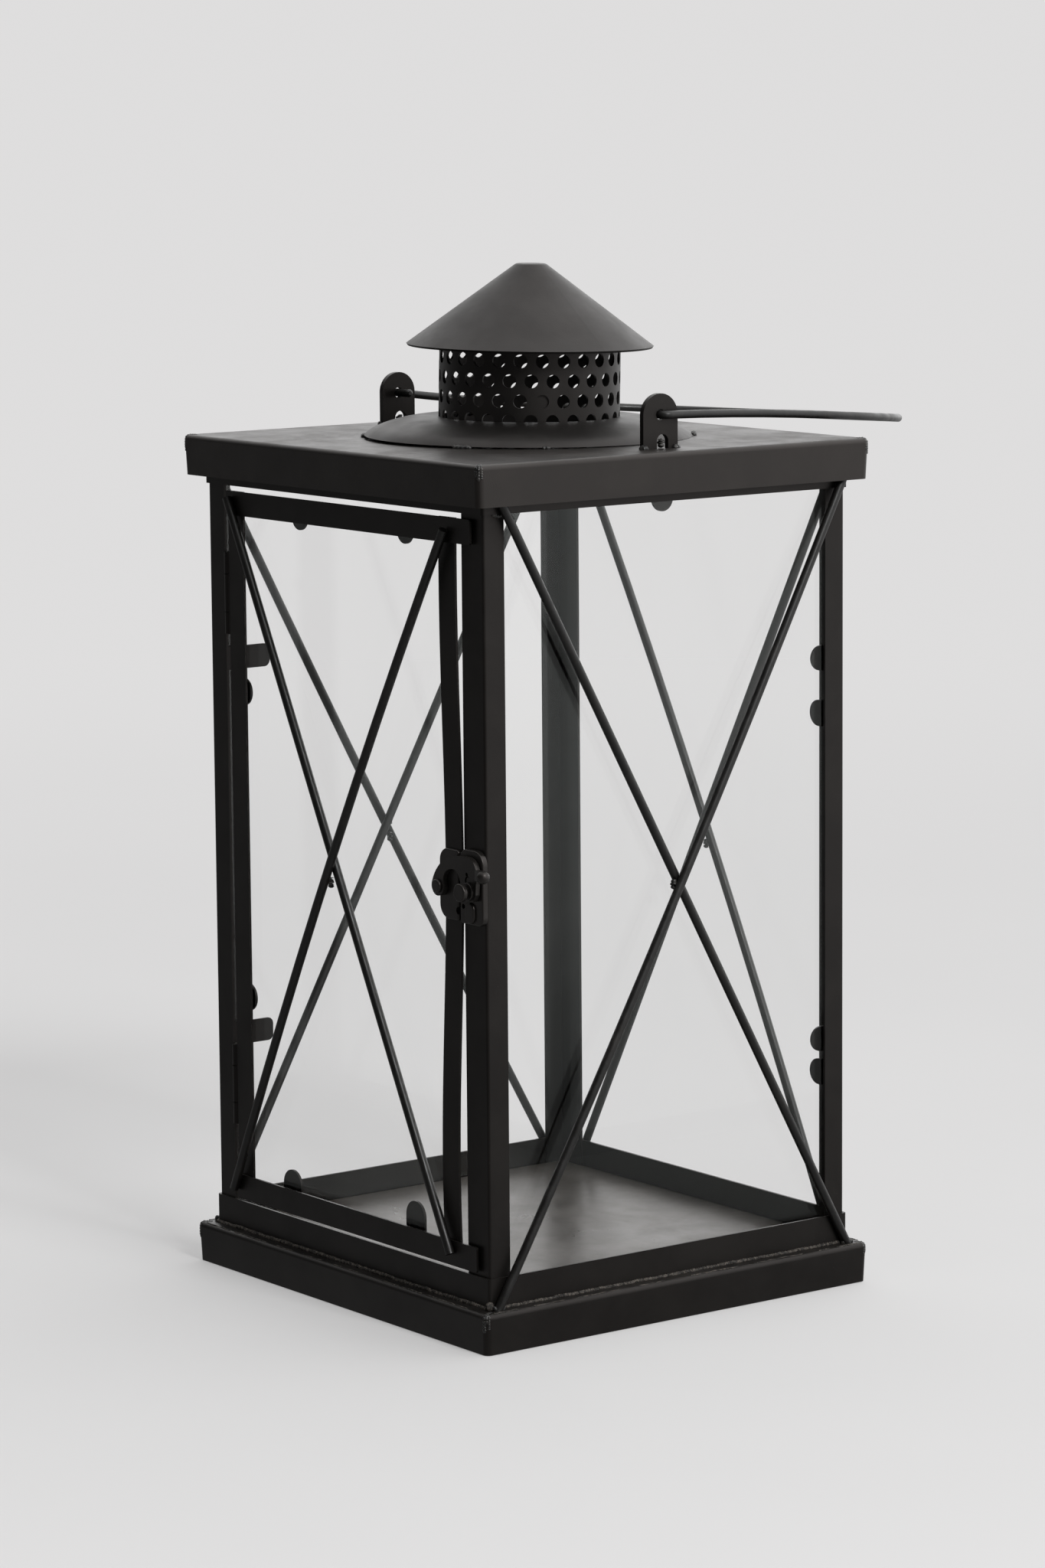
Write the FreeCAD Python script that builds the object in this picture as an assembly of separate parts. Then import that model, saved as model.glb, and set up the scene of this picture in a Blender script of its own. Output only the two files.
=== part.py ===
import FreeCAD, Part
import math
import os

# Candle lantern of folded sheet steel: a square lantern room on a low tray, glazed on
# four sides, with a hinged and latched door, crossed guard rods, a perforated chimney
# under a conical cap, and a wire bail carried by two ears.
#
# Frame: +Z up, origin in the middle of the lantern's footprint, at the level of the
# surface it stands on. The door faces -Y, its hinges are on the -X side.

V = FreeCAD.Vector

# ---- driving dimensions (mm) -------------------------------------------------

SHEET = 0.9                 # folded sheet steel
POST_SHEET = 1.0
POST_X = 86.8               # outer faces of the corner posts
POST_Y = 82.4
POST_LEG_X = 12.9           # leg along X, on the door and back faces
POST_LEG_HINGE = 10.4       # the same leg beside the door's hinges
POST_LEG_Y = 9.0            # leg along Y, on the side faces
POST_FOLD = 1.0             # outer radius of the fold

TRAY_TOP = 15.0             # base tray
TRAY_HALF_X = 93.4
TRAY_HALF_Y = 89.0
TRAY_DRAFT = 0.55           # how far the skirt leans in at its free edge
TRAY_CORNER = 2.4
TRAY_FOLD = 1.9

PAN_TOP = 26.1              # low pan that wraps the feet of the posts
WRAP_X = POST_X + SHEET     # outer faces of the pan and of the upper rim
WRAP_Y = POST_Y + SHEET
WRAP_CORNER = 1.2

RIM_BOTTOM = 298.9          # upper rim that wraps the heads of the posts
ROOF_TOP = 317.0            # roof tray
ROOF_BOTTOM = 302.0
ROOF_HALF_X = 93.65
ROOF_HALF_Y = 89.25
ROOF_FOLD = 1.8
VENT_RADIUS = 31.0          # smoke hole through rim and roof

GLASS = 2.0
PANE_GAP = 0.1              # between a pane and the sheet it lies against
PANE_BOTTOM = 17.3
PANE_TOP = 300.0
SIDE_PANE_HALF = 77.4
BACK_PANE_HALF = 77.6
CANDLE_PLATE = 1.0          # loose floor plate for the candle
CANDLE_PLAY = 0.5

DOOR_FACE = POST_Y + SHEET  # outer face of the stiles
RAIL_FACE = DOOR_FACE + SHEET
DOOR_LEFT = -72.4
DOOR_RIGHT = 71.2
DOOR_BOTTOM = 27.5
DOOR_TOP = 297.0
STILE_WIDTH = 9.8
STILE_BOW = 2.4             # the latch stile is bent this far towards the post at the latch
STILE_BOW_Z = 165.0
STILE_SAG = 1.3             # and this far away from the post lower down
STILE_SAG_Z = 72.0
STILE_STRAIGHT_Z = 245.0    # above this it runs true again
RAIL_TOP_HEIGHT = 8.9
RAIL_BOTTOM_HEIGHT = 9.2
RAIL_END = 81.2             # rails run on over the latch post
DOOR_PANE = (-67.5, 66.3, 32.9, 291.8)

HINGE_X = -74.3
HINGE_Y = -82.2
BARREL_RADIUS = 1.7
HINGE_PIN_RADIUS = 0.8
HINGE_PIN_PLAY = 0.05
HINGE_CENTRES = {"upper": 258.4, "lower": 71.0}
KNUCKLE_END = 8.0
KNUCKLE_MIDDLE = 14.0
KNUCKLE_GAP = 0.3
LEAF = 0.8

ROD_RADIUS = 1.65
ROD_BOW = 3.3               # how far the outer rod of a pair bows over the inner one
ROD_HEAD = 308.0            # rods of the fixed faces end here, behind the roof's skirt

HOOK_PIVOT = (63.4, 165.6)  # x and z of the latch hook's rivet
HOOK_BOSS = 3.6
HOOK_RIVET = 1.5
HOOK_BACK = -84.8
HOOK_THICKNESS = 1.9
HOOK_LIP_BEND = 15.0        # how far the thumb lip is bent out, degrees
HOOK_LIP_X = 86.0
HOOK_LIP_Z = 172.2
HOOK_LIP = 6.0
HOOK_BALL = 2.4             # ball at the lip's end
PEG = (81.6, 169.5)         # x and z of the peg that the hook drops over
PEG_RADIUS = 1.4
KNOB = (81.9, 165.8)        # x and z of the knob that stands on the hook's leg
KNOB_RADIUS = 3.3
KNOB_STEM = 1.9
LATCH_PLATE = 1.2
KEEPER_PLATE = 2.2
LATCH_EASE = 0.6            # rounding of the latch's front edges
LATCH_PLAY = 0.35

CHIMNEY_X = 1.4
CHIMNEY_Y = 1.9
BAND_RADIUS = 33.6
BAND_HOLE_RADIUS = 2.5
BAND_HOLES = 26
BAND_ROW_LOW = 324.8
BAND_ROW_PITCH = 7.3
BAND_ROWS = 5
BAND_FIRST_HOLE = -35.83    # azimuth of a hole of the lowest row, degrees
SEAM_BLIND_ROW = 1
FLANGE_RADIUS = 61.1
CAP_RADIUS = 45.8
CAP_RIM = 351.0
CAP_FLAT = 5.5
CAP_TOP = 380.8
LEAN_AXIS = V(0.801, -0.598, 0)
FLANGE_LEAN = -0.5          # degrees; the spun parts were welded on slightly askew
STACK_LEAN = -1.2

EAR_INNER = 77.5
EAR_SHEET = 2.0
EAR_HOLE = 2.0
NEAR_EAR_Y = 2.4
FAR_EAR_Y = -1.0
EAR_HOLE_Z = 329.2

WIRE_RADIUS = 1.5
BAIL_HALF = 81.7            # half the distance between the bail's arms
BAIL_STUB = 70.0            # inner ends of the bail's wire
BAIL_STRAIGHT = 76.6        # length of an arm, up to the half-round crown
BAIL_DROOP = 4.74           # degrees below level, as it rests on the roof's edge
BAIL_TWIST = 4.7            # how much higher one arm is than the other at the crown
BAIL_BEND = 2.4


# ---- small helpers -------------------------------------------------------------

def box(x0, x1, y0, y1, z0, z1):
    """Box given by its limits."""
    return Part.makeBox(x1 - x0, y1 - y0, z1 - z0, V(x0, y0, z0))


def rounded_wire(half_x, half_y, radius, z):
    """Closed rectangle with rounded corners, centred on the Z axis."""
    arcs = []
    for index, (sx, sy) in enumerate(((1, -1), (1, 1), (-1, 1), (-1, -1))):
        centre = V(sx * (half_x - radius), sy * (half_y - radius), z)
        start = 90.0 * (index - 1)
        points = []
        for turn in (0.0, 45.0, 90.0):
            angle = math.radians(start + turn)
            points.append(centre + V(radius * math.cos(angle), radius * math.sin(angle), 0))
        arcs.append(points)
    edges = []
    for index, points in enumerate(arcs):
        edges.append(Part.Arc(*points).toShape())
        edges.append(Part.makeLine(points[2], arcs[(index + 1) % 4][0]))
    return Part.Wire(edges)


def block(lower, upper, radius, z0, z1):
    """Rounded rectangular block whose half sizes go from lower to upper."""
    bottom = rounded_wire(lower[0], lower[1], radius, z0)
    top = rounded_wire(upper[0], upper[1], radius, z1)
    return Part.makeLoft([bottom, top], True, True)


def level_edges(shape, z):
    """Edges that lie in the horizontal plane at height z."""
    found = []
    for edge in shape.Edges:
        limits = edge.BoundBox
        if abs(limits.ZMin - z) < 1e-4 and abs(limits.ZMax - z) < 1e-4:
            found.append(edge)
    return found


def folded_tray(free, closed, corner, fold, z_free, z_closed):
    """Sheet tray: skirt from its free edge to a closed side, folded round with a radius."""
    sign = 1.0 if z_closed > z_free else -1.0
    outer = block(free, closed, corner, z_free, z_closed)
    outer = outer.makeFillet(fold, level_edges(outer, z_closed))
    inner_free = (free[0] - SHEET, free[1] - SHEET)
    inner_closed = (closed[0] - SHEET, closed[1] - SHEET)
    inner_z = z_closed - sign * SHEET
    inner = block(inner_free, inner_closed, corner - SHEET, z_free, inner_z)
    inner_fold = fold - SHEET
    if inner_fold > 0.05:
        inner = inner.makeFillet(inner_fold, level_edges(inner, inner_z))
    return outer.cut(inner)


def upright(radius, z0, z1, x=0.0, y=0.0):
    """Cylinder along Z."""
    return Part.makeCylinder(radius, z1 - z0, V(x, y, z0))


def across(radius, x, z, y0, y1):
    """Cylinder along Y."""
    return Part.makeCylinder(radius, y1 - y0, V(x, y0, z), V(0, 1, 0))


def bent_wire(radius, start, way, end):
    """Round wire along the circular arc that leaves start in direction way and meets end."""
    chord = end - start
    axis = way.cross(chord)
    angle = way.getAngle(chord)
    disc = Part.Face(Part.Wire(Part.makeCircle(radius, start, way)))
    if angle < 1e-6:
        return disc.extrude(chord)
    bend = chord.Length / (2.0 * math.sin(angle))
    axis.normalize()
    forward = V(way)
    forward.normalize()
    centre = start + axis.cross(forward) * bend
    return disc.revolve(centre, axis, math.degrees(2.0 * angle))


def turned(outline):
    """Solid of revolution of a closed list of (radius, z) corners about the Z axis."""
    points = [V(r, 0, z) for r, z in outline]
    wire = Part.makePolygon(points + [points[0]])
    return Part.Face(wire).revolve(V(0, 0, 0), V(0, 0, 1), 360)


def leaned(shape, degrees):
    """Move a chimney part onto its place on the roof and lean it."""
    seat = V(CHIMNEY_X, CHIMNEY_Y, ROOF_TOP)
    moved = shape.copy()
    moved.translate(V(CHIMNEY_X, CHIMNEY_Y, 0))
    moved.rotate(seat, LEAN_AXIS, degrees)
    return moved


def on_roof(shape):
    """Trim away what a leaning part would sink into the roof."""
    return shape.cut(box(-100, 100, -100, 100, ROOF_TOP - 20, ROOF_TOP))


# ---- base and frame --------------------------------------------------------------

def base_tray():
    free = (TRAY_HALF_X - TRAY_DRAFT, TRAY_HALF_Y - TRAY_DRAFT)
    closed = (TRAY_HALF_X, TRAY_HALF_Y)
    return folded_tray(free, closed, TRAY_CORNER, TRAY_FOLD, 0.0, TRAY_TOP)


def base_pan():
    half = (WRAP_X, WRAP_Y)
    return folded_tray(half, half, WRAP_CORNER, SHEET, PAN_TOP, TRAY_TOP)


def candle_plate():
    floor = TRAY_TOP + SHEET
    half_x = POST_X - POST_SHEET - GLASS - CANDLE_PLAY
    half_y = POST_Y - POST_SHEET - GLASS - CANDLE_PLAY
    plate = block((half_x, half_y), (half_x, half_y), 1.0, floor, floor + CANDLE_PLATE)
    return plate.makeFillet(0.4, level_edges(plate, floor + CANDLE_PLATE))


def post(sign_x, sign_y, leg_x):
    """Corner angle with its fold at the corner (sign_x, sign_y)."""
    z0 = TRAY_TOP + SHEET
    z1 = ROOF_TOP - 2 * SHEET
    outer = box(POST_X - leg_x, POST_X, POST_Y - POST_LEG_Y, POST_Y, z0, z1)
    fold = []
    for edge in outer.Edges:
        middle = edge.BoundBox.Center
        if abs(middle.x - POST_X) < 1e-4 and abs(middle.y - POST_Y) < 1e-4:
            fold.append(edge)
    outer = outer.makeFillet(POST_FOLD, fold)
    inside_x = POST_X - POST_SHEET
    inside_y = POST_Y - POST_SHEET
    angle = outer.cut(box(0, inside_x, 0, inside_y, z0 - 1, z1 + 1))
    if sign_x < 0:
        angle = angle.mirror(V(0, 0, 0), V(1, 0, 0))
    if sign_y < 0:
        angle = angle.mirror(V(0, 0, 0), V(0, 1, 0))
    return angle


def upper_rim():
    half = (WRAP_X, WRAP_Y)
    rim = folded_tray(half, half, WRAP_CORNER, SHEET, RIM_BOTTOM, ROOF_TOP - SHEET)
    return rim.cut(upright(VENT_RADIUS, RIM_BOTTOM, ROOF_TOP, CHIMNEY_X, CHIMNEY_Y))


def roof_tray():
    free = (ROOF_HALF_X - TRAY_DRAFT, ROOF_HALF_Y - TRAY_DRAFT)
    closed = (ROOF_HALF_X, ROOF_HALF_Y)
    roof = folded_tray(free, closed, TRAY_CORNER, ROOF_FOLD, ROOF_BOTTOM, ROOF_TOP)
    return roof.cut(upright(VENT_RADIUS, ROOF_BOTTOM, ROOF_TOP + 1, CHIMNEY_X, CHIMNEY_Y))


# ---- glazing -----------------------------------------------------------------------

def side_pane(sign):
    inside = POST_X - POST_SHEET - PANE_GAP
    pane = box(inside - GLASS, inside, -SIDE_PANE_HALF, SIDE_PANE_HALF, PANE_BOTTOM, PANE_TOP)
    if sign < 0:
        pane = pane.mirror(V(0, 0, 0), V(1, 0, 0))
    return pane


def back_pane():
    inside = POST_Y - POST_SHEET - PANE_GAP
    return box(-BACK_PANE_HALF, BACK_PANE_HALF, inside - GLASS, inside, PANE_BOTTOM, PANE_TOP)


def door_pane():
    outside = -(POST_Y - PANE_GAP)
    left, right, bottom, top = DOOR_PANE
    return box(left, right, outside, outside + GLASS, bottom, top)


def clip_tip(reach, half, level, corner):
    """Tongue of a clip: its end is rounded by corner, or half round without one."""
    if corner:
        tongue = box(-SHEET, reach, -half, half, level, level + SHEET)
        ends = [edge for edge in tongue.Edges
                if abs(edge.BoundBox.XMin - reach) < 1e-4 and edge.BoundBox.YLength < 1e-4
                and edge.BoundBox.ZLength > SHEET / 2]
        return tongue.makeFillet(corner, ends)
    tip = Part.makeCylinder(half, SHEET, V(reach - half, 0, level))
    tip = tip.common(box(-SHEET, reach, -half, half, level, level + SHEET))
    if reach - half > -SHEET:
        tip = tip.fuse(box(-SHEET, reach - half, -half, half, level, level + SHEET))
    return tip


def clip(origin, over, inward, width, reach, lift, foot, corner=0.0):
    """Folded glass clip. origin is on the sheet at the pane's edge, over points across
    the pane, inward points away from the sheet, and lift is the pane's far face."""
    half = width / 2.0
    level = lift + PANE_GAP
    tip = clip_tip(reach, half, level, corner)
    riser = box(-SHEET, 0, -half, half, 0, level + SHEET)
    sole = box(-SHEET - foot, 0, -half, half, 0, SHEET)
    bent = tip.fuse([riser, sole]).removeSplitter()
    side = inward.cross(over)
    matrix = FreeCAD.Matrix(over.x, side.x, inward.x, origin.x,
                            over.y, side.y, inward.y, origin.y,
                            over.z, side.z, inward.z, origin.z,
                            0, 0, 0, 1)
    bent.Placement = FreeCAD.Placement(matrix)
    return bent


def door_clips():
    left, right, bottom, top = DOOR_PANE
    pane_face = PANE_GAP + GLASS
    behind_rail = pane_face + SHEET
    inward = V(0, 1, 0)
    clips = []
    for z in (221.5, 105.0):
        corner = V(left - PANE_GAP, -POST_Y, z)
        clips.append(clip(corner, V(1, 0, 0), inward, 10.4, 3.9, pane_face, 3.2))
    for x in (-30.0, 36.5):
        corner = V(x, -DOOR_FACE, top + PANE_GAP)
        clips.append(clip(corner, V(0, 0, -1), inward, 9.5, 6.9, behind_rail, 3.6))
    for x, reach in ((-41.0, 10.2), (38.4, 12.7)):
        corner = V(x, -DOOR_FACE, bottom - PANE_GAP)
        clips.append(clip(corner, V(0, 0, 1), inward, 11.5, reach, behind_rail, 3.6))
    return Part.makeCompound(clips)


def side_clips(sign):
    """Clips that hold a side pane: on the far post of the right face, with one under the
    rim, and on the hinge post of the left face."""
    pane_face = PANE_GAP + GLASS
    inside = sign * (POST_X - POST_SHEET)
    inward = V(-sign, 0, 0)
    edge = sign * (SIDE_PANE_HALF + PANE_GAP)
    right = ((236.0, 7.9), (93.0, 7.9))
    left = ((232.5, 18.7), (88.3, 17.7))
    width, blunt = (9.4, 0.0) if sign > 0 else (8.8, 2.4)
    clips = []
    for z, reach in right if sign > 0 else left:
        corner = V(inside, edge, z)
        clips.append(clip(corner, V(0, -sign, 0), inward, width, reach, pane_face, 2.6, blunt))
    if sign > 0:
        corner = V(POST_X, 0.0, PANE_TOP + PANE_GAP)
        lift = pane_face + POST_SHEET
        clips.append(clip(corner, V(0, 0, -1), inward, 9.4, 5.2, lift, 6.0))
    return Part.makeCompound(clips)


def back_clips():
    pane_face = PANE_GAP + GLASS
    clips = []
    for z in (214.5, 79.0):
        corner = V(BACK_PANE_HALF + PANE_GAP, POST_Y - POST_SHEET, z)
        clips.append(clip(corner, V(-1, 0, 0), V(0, -1, 0), 9.8, 5.6, pane_face, 3.6))
    return Part.makeCompound(clips)


# ---- door ---------------------------------------------------------------------------

def stile(x0, x1):
    return box(x0, x1, -DOOR_FACE, -POST_Y, DOOR_BOTTOM, DOOR_TOP)


def bent_edge(x):
    """Long edge of the bent stile, up from its foot."""
    bends = [(DOOR_BOTTOM, 0), (STILE_SAG_Z, -STILE_SAG), (STILE_BOW_Z, STILE_BOW), (STILE_STRAIGHT_Z, 0.3), (DOOR_TOP, 0)]
    curve = Part.BSplineCurve()
    curve.interpolate([V(x + bend, -DOOR_FACE, z) for z, bend in bends])
    return curve.toShape()


def bent_stile(x0, x1):
    """Stile whose long edges both follow the same slight bend."""
    edges = [bent_edge(x0), bent_edge(x1)]
    for z in (DOOR_BOTTOM, DOOR_TOP):
        edges.append(Part.makeLine(V(x0, -DOOR_FACE, z), V(x1, -DOOR_FACE, z)))
    outline = Part.Wire(Part.__sortEdges__(edges))
    return Part.Face(outline).extrude(V(0, SHEET, 0))


def rail(z0, z1):
    strip = box(DOOR_LEFT, RAIL_END, -RAIL_FACE, -DOOR_FACE, z0, z1)
    ends = []
    for edge in strip.Edges:
        middle = edge.BoundBox.Center
        if abs(middle.x - RAIL_END) < 1e-4 and abs(middle.y + RAIL_FACE - SHEET / 2) < 1e-4:
            ends.append(edge)
    return strip.makeFillet(0.8, ends)


def hinge_spans(centre):
    """Height ranges of a hinge's two end knuckles and its middle knuckle."""
    middle = KNUCKLE_MIDDLE / 2.0
    inner = middle + KNUCKLE_GAP
    low = (centre - inner - KNUCKLE_END, centre - inner)
    high = (centre + inner, centre + inner + KNUCKLE_END)
    return (low, high), (centre - middle, centre + middle)


def knuckle(span, bore):
    barrel = upright(BARREL_RADIUS, span[0], span[1], HINGE_X, HINGE_Y)
    return barrel.cut(upright(bore, span[0] - 1, span[1] + 1, HINGE_X, HINGE_Y))


def hinge_leaf_door(centre):
    """Door leaf behind the stile, with the hinge's two end knuckles."""
    ends, middle = hinge_spans(centre)
    bore = HINGE_PIN_RADIUS + HINGE_PIN_PLAY
    clear = HINGE_X + BARREL_RADIUS + 0.25
    leaf = box(clear, DOOR_PANE[0] - KNUCKLE_GAP, -POST_Y, -POST_Y + LEAF, ends[0][0], ends[1][1])
    pieces = []
    for span in ends:
        tab = box(HINGE_X, clear, -POST_Y, -POST_Y + LEAF, span[0], span[1])
        tab = tab.cut(upright(bore, span[0] - 1, span[1] + 1, HINGE_X, HINGE_Y))
        pieces.append(tab.fuse(knuckle(span, bore)))
    return leaf.fuse(pieces).removeSplitter()


def hinge_leaf_frame(centre):
    """Frame leaf behind the post, with the hinge's middle knuckle."""
    ends, middle = hinge_spans(centre)
    back = -POST_Y + POST_SHEET
    clear = HINGE_X - BARREL_RADIUS - 0.25
    leaf = box(-POST_X + POST_SHEET + 4.6, clear, back, back + LEAF, ends[0][0], ends[1][1])
    tab = box(clear, HINGE_X, back, -80.55, middle[0], middle[1])
    tab = tab.cut(upright(BARREL_RADIUS - 0.3, middle[0] - 1, middle[1] + 1, HINGE_X, HINGE_Y))
    ring = knuckle(middle, HINGE_PIN_RADIUS + HINGE_PIN_PLAY)
    return leaf.fuse([tab, ring]).removeSplitter()


def hinge_pin(centre):
    ends, middle = hinge_spans(centre)
    pin = upright(HINGE_PIN_RADIUS, ends[0][0] - 0.4, ends[1][1] + 0.4, HINGE_X, HINGE_Y)
    return pin.makeFillet(0.25, level_edges(pin, ends[0][0] - 0.4) + level_edges(pin, ends[1][1] + 0.4))


# ---- guard rods ------------------------------------------------------------------------

def straight_rod(start, end):
    run = end - start
    return Part.makeCylinder(ROD_RADIUS, run.Length, start, run)


def bowed_rod(start, end, outward):
    """Rod bent to a circular arc whose middle stands ROD_BOW out from its chord."""
    chord = end - start
    lift = 2.0 * math.atan2(2.0 * ROD_BOW, chord.Length)
    along = V(chord)
    along.normalize()
    way = along * math.cos(lift) + outward * math.sin(lift)
    return bent_wire(ROD_RADIUS, start, way, end)


def face_point(face, along, z):
    """Point on the middle plane of the rods of a face."""
    side = WRAP_X + ROD_RADIUS
    back = WRAP_Y + ROD_RADIUS
    door = RAIL_FACE + ROD_RADIUS
    places = {"right": V(side, along, z), "left": V(-side, along, z),
              "back": V(along, back, z), "door": V(along, -door, z)}
    return places[face]


OUTWARD = {"right": V(1, 0, 0), "left": V(-1, 0, 0), "back": V(0, 1, 0), "door": V(0, -1, 0)}


def wall_rod(face, foot_at, head_at, bowed):
    """Rod of a fixed face, from the tray's ledge to behind the roof's skirt."""
    sink = 2.0
    slope = (head_at - foot_at) / (ROD_HEAD - TRAY_TOP)
    start = face_point(face, foot_at - slope * sink, TRAY_TOP - sink)
    end = face_point(face, head_at, ROD_HEAD)
    rod = bowed_rod(start, end, OUTWARD[face]) if bowed else straight_rod(start, end)
    return rod.cut(box(-120, 120, -120, 120, TRAY_TOP - 10, TRAY_TOP))


def door_rod(start, end, bowed):
    first = face_point("door", *start)
    last = face_point("door", *end)
    return bowed_rod(first, last, OUTWARD["door"]) if bowed else straight_rod(first, last)


# ---- latch ------------------------------------------------------------------------------

def front_rim(disc):
    """Edges of a disc's front face, the one furthest towards -Y."""
    front = disc.BoundBox.YMin
    rim = []
    for edge in disc.Edges:
        limits = edge.BoundBox
        if abs(limits.YMax - front) < 1e-3 and abs(limits.YMin - front) < 1e-3:
            rim.append(edge)
    return rim


def latch_plate(x0, x1, z0, z1, back, thickness, radii):
    """Flat plate with four rounded corners: lower left, lower right, upper left, upper right."""
    plate = box(x0, x1, back - thickness, back, z0, z1)
    corners = [(x0, z0), (x1, z0), (x0, z1), (x1, z1)]
    for (x, z), radius in zip(corners, radii):
        for edge in plate.Edges:
            middle = edge.BoundBox.Center
            if abs(middle.x - x) < 1e-3 and abs(middle.z - z) < 1e-3:
                plate = plate.makeFillet(radius, [edge])
                break
    return plate.makeFillet(LATCH_EASE, front_rim(plate))


def latch_door_plate():
    """Plate on the stile that carries the hook's rivet, notched beside the post."""
    plate = latch_plate(61.5, 72.9, 153.8, 179.2, -DOOR_FACE, LATCH_PLATE, (5.2, 1.2, 4.6, 1.2))
    front = -DOOR_FACE - LATCH_PLATE
    notch = [across(1.4, 72.9, 157.6, front - 1, -DOOR_FACE + 1),
             across(1.4, 72.9, 175.4, front - 1, -DOOR_FACE + 1)]
    return plate.cut(notch)


def keeper_plate():
    """Plate on the post behind the hook's free end, with an oval pad and relieved beside it."""
    plate = latch_plate(74.0, 87.6, 153.4, 180.2, -POST_Y, KEEPER_PLATE, (1.2, 3.2, 3.4, 5.2))
    front = -POST_Y - KEEPER_PLATE
    pad_x, pad_z, pad_half, pad_rise = 80.5, 157.7, 2.7, 0.9
    ends = [across(pad_half, pad_x, pad_z + shift, front - pad_rise, front) for shift in (-1.1, 1.1)]
    middle = box(pad_x - pad_half, pad_x + pad_half, front - pad_rise, front, pad_z - 1.1, pad_z + 1.1)
    pad = middle.fuse(ends).removeSplitter()
    pad = pad.makeFillet(LATCH_EASE, front_rim(pad))
    relief = across(0.9, 76.0, 159.6, front - 1, -POST_Y + 1)
    return plate.fuse(pad).cut(relief)


def keeper_peg():
    """Peg on the keeper plate that stands in the hook's slot."""
    front = HOOK_BACK - HOOK_THICKNESS + LATCH_PLAY
    return across(PEG_RADIUS, PEG[0], PEG[1], front, -POST_Y - KEEPER_PLATE)


def latch_rivet():
    x, z = HOOK_PIVOT
    hook_front = HOOK_BACK - HOOK_THICKNESS
    shank = across(HOOK_RIVET, x, z, hook_front - 0.2, -DOOR_FACE - LATCH_PLATE)
    head = across(2.5, x, z, hook_front - 1.2, hook_front - 0.2)
    return head.makeFillet(0.8, front_rim(head)).fuse(shank).removeSplitter()


def sector(r0, r1, start, stop):
    """Flat ring sector about the hook's pivot, angles from +X towards +Z in degrees."""
    x, z = HOOK_PIVOT
    front = HOOK_BACK - HOOK_THICKNESS
    corners = []
    for radius in (r0, r1):
        arc = []
        for angle in (start, (start + stop) / 2.0, stop):
            turn = math.radians(angle)
            arc.append(V(x + radius * math.cos(turn), front, z + radius * math.sin(turn)))
        corners.append(arc)
    inner, outer = corners
    edges = [Part.Arc(*outer).toShape(), Part.makeLine(outer[2], inner[2]),
             Part.Arc(*reversed(inner)).toShape(), Part.makeLine(inner[0], outer[0])]
    return Part.Face(Part.Wire(edges)).extrude(V(0, HOOK_THICKNESS, 0))


def hook_lip():
    """Thumb lip: a tongue bent out from the hook's outer edge, with a ball at its end."""
    front = HOOK_BACK - HOOK_THICKNESS
    half = 1.9
    end = HOOK_LIP_X + HOOK_LIP
    tongue = box(HOOK_LIP_X - 3.0, end, front, HOOK_BACK, HOOK_LIP_Z - half, HOOK_LIP_Z + half)
    tongue.rotate(V(HOOK_LIP_X, HOOK_BACK, 0), V(0, 0, 1), -HOOK_LIP_BEND)
    tongue = tongue.common(box(HOOK_LIP_X - 1.5, 100, -100, HOOK_BACK, 160, 180))
    ball = Part.makeSphere(HOOK_BALL, V(end, (front + HOOK_BACK) / 2.0, HOOK_LIP_Z))
    ball.rotate(V(HOOK_LIP_X, HOOK_BACK, 0), V(0, 0, 1), -HOOK_LIP_BEND)
    return tongue.fuse(ball).removeSplitter()


def latch_hook():
    """Flat hook: a pivot boss, an arch, a slotted leg over the peg and a thumb lip."""
    x, z = HOOK_PIVOT
    front = HOOK_BACK - HOOK_THICKNESS
    back_of_arch = [(60.2, 167.2), (62.6, 171.4), (67.4, 175.4), (73.4, 177.4), (79.6, 178.0),
                    (84.2, 177.0), (86.6, 173.6), (86.5, 169.0)]
    opening = [(76.9, 163.4), (76.7, 169.6), (74.6, 172.2), (70.8, 172.5), (67.6, 170.6), (66.9, 166.6)]
    curves = []
    for outline in (back_of_arch, opening):
        curve = Part.BSplineCurve()
        curve.interpolate([V(px, front, pz) for px, pz in outline])
        curves.append(curve.toShape())
    leg = [V(86.5, front, 169.0), V(86.2, front, 165.0), V(84.6, front, 162.4), V(76.9, front, 163.4)]
    heel = [V(66.9, front, 166.6), V(x + 0.6, front, z - 3.0), V(60.2, front, 167.2)]
    edges = [curves[0], Part.makeLine(leg[0], leg[1]), Part.makeLine(leg[1], leg[2]),
             Part.makeLine(leg[2], leg[3]), curves[1],
             Part.makeLine(heel[0], heel[1]), Part.makeLine(heel[1], heel[2])]
    plate = Part.Face(Part.Wire(edges)).extrude(V(0, HOOK_THICKNESS, 0))
    peg_radius = math.hypot(PEG[0] - x, PEG[1] - z)
    peg_angle = math.degrees(math.atan2(PEG[1] - z, PEG[0] - x))
    play = PEG_RADIUS + LATCH_PLAY
    hook = plate.fuse([across(HOOK_BOSS, x, z, front, HOOK_BACK), hook_lip()])
    slot = [sector(peg_radius - play, peg_radius + play, -40.0, peg_angle),
            across(play, PEG[0], PEG[1], front - 1, HOOK_BACK + 1),
            across(0.7, PEG[0] - 0.6, PEG[1] + 2.3, front - 1, HOOK_BACK + 1)]
    bore = across(HOOK_RIVET + HINGE_PIN_PLAY, x, z, front - 1, HOOK_BACK + 1)
    return hook.cut(slot + [bore]).removeSplitter()


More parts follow.
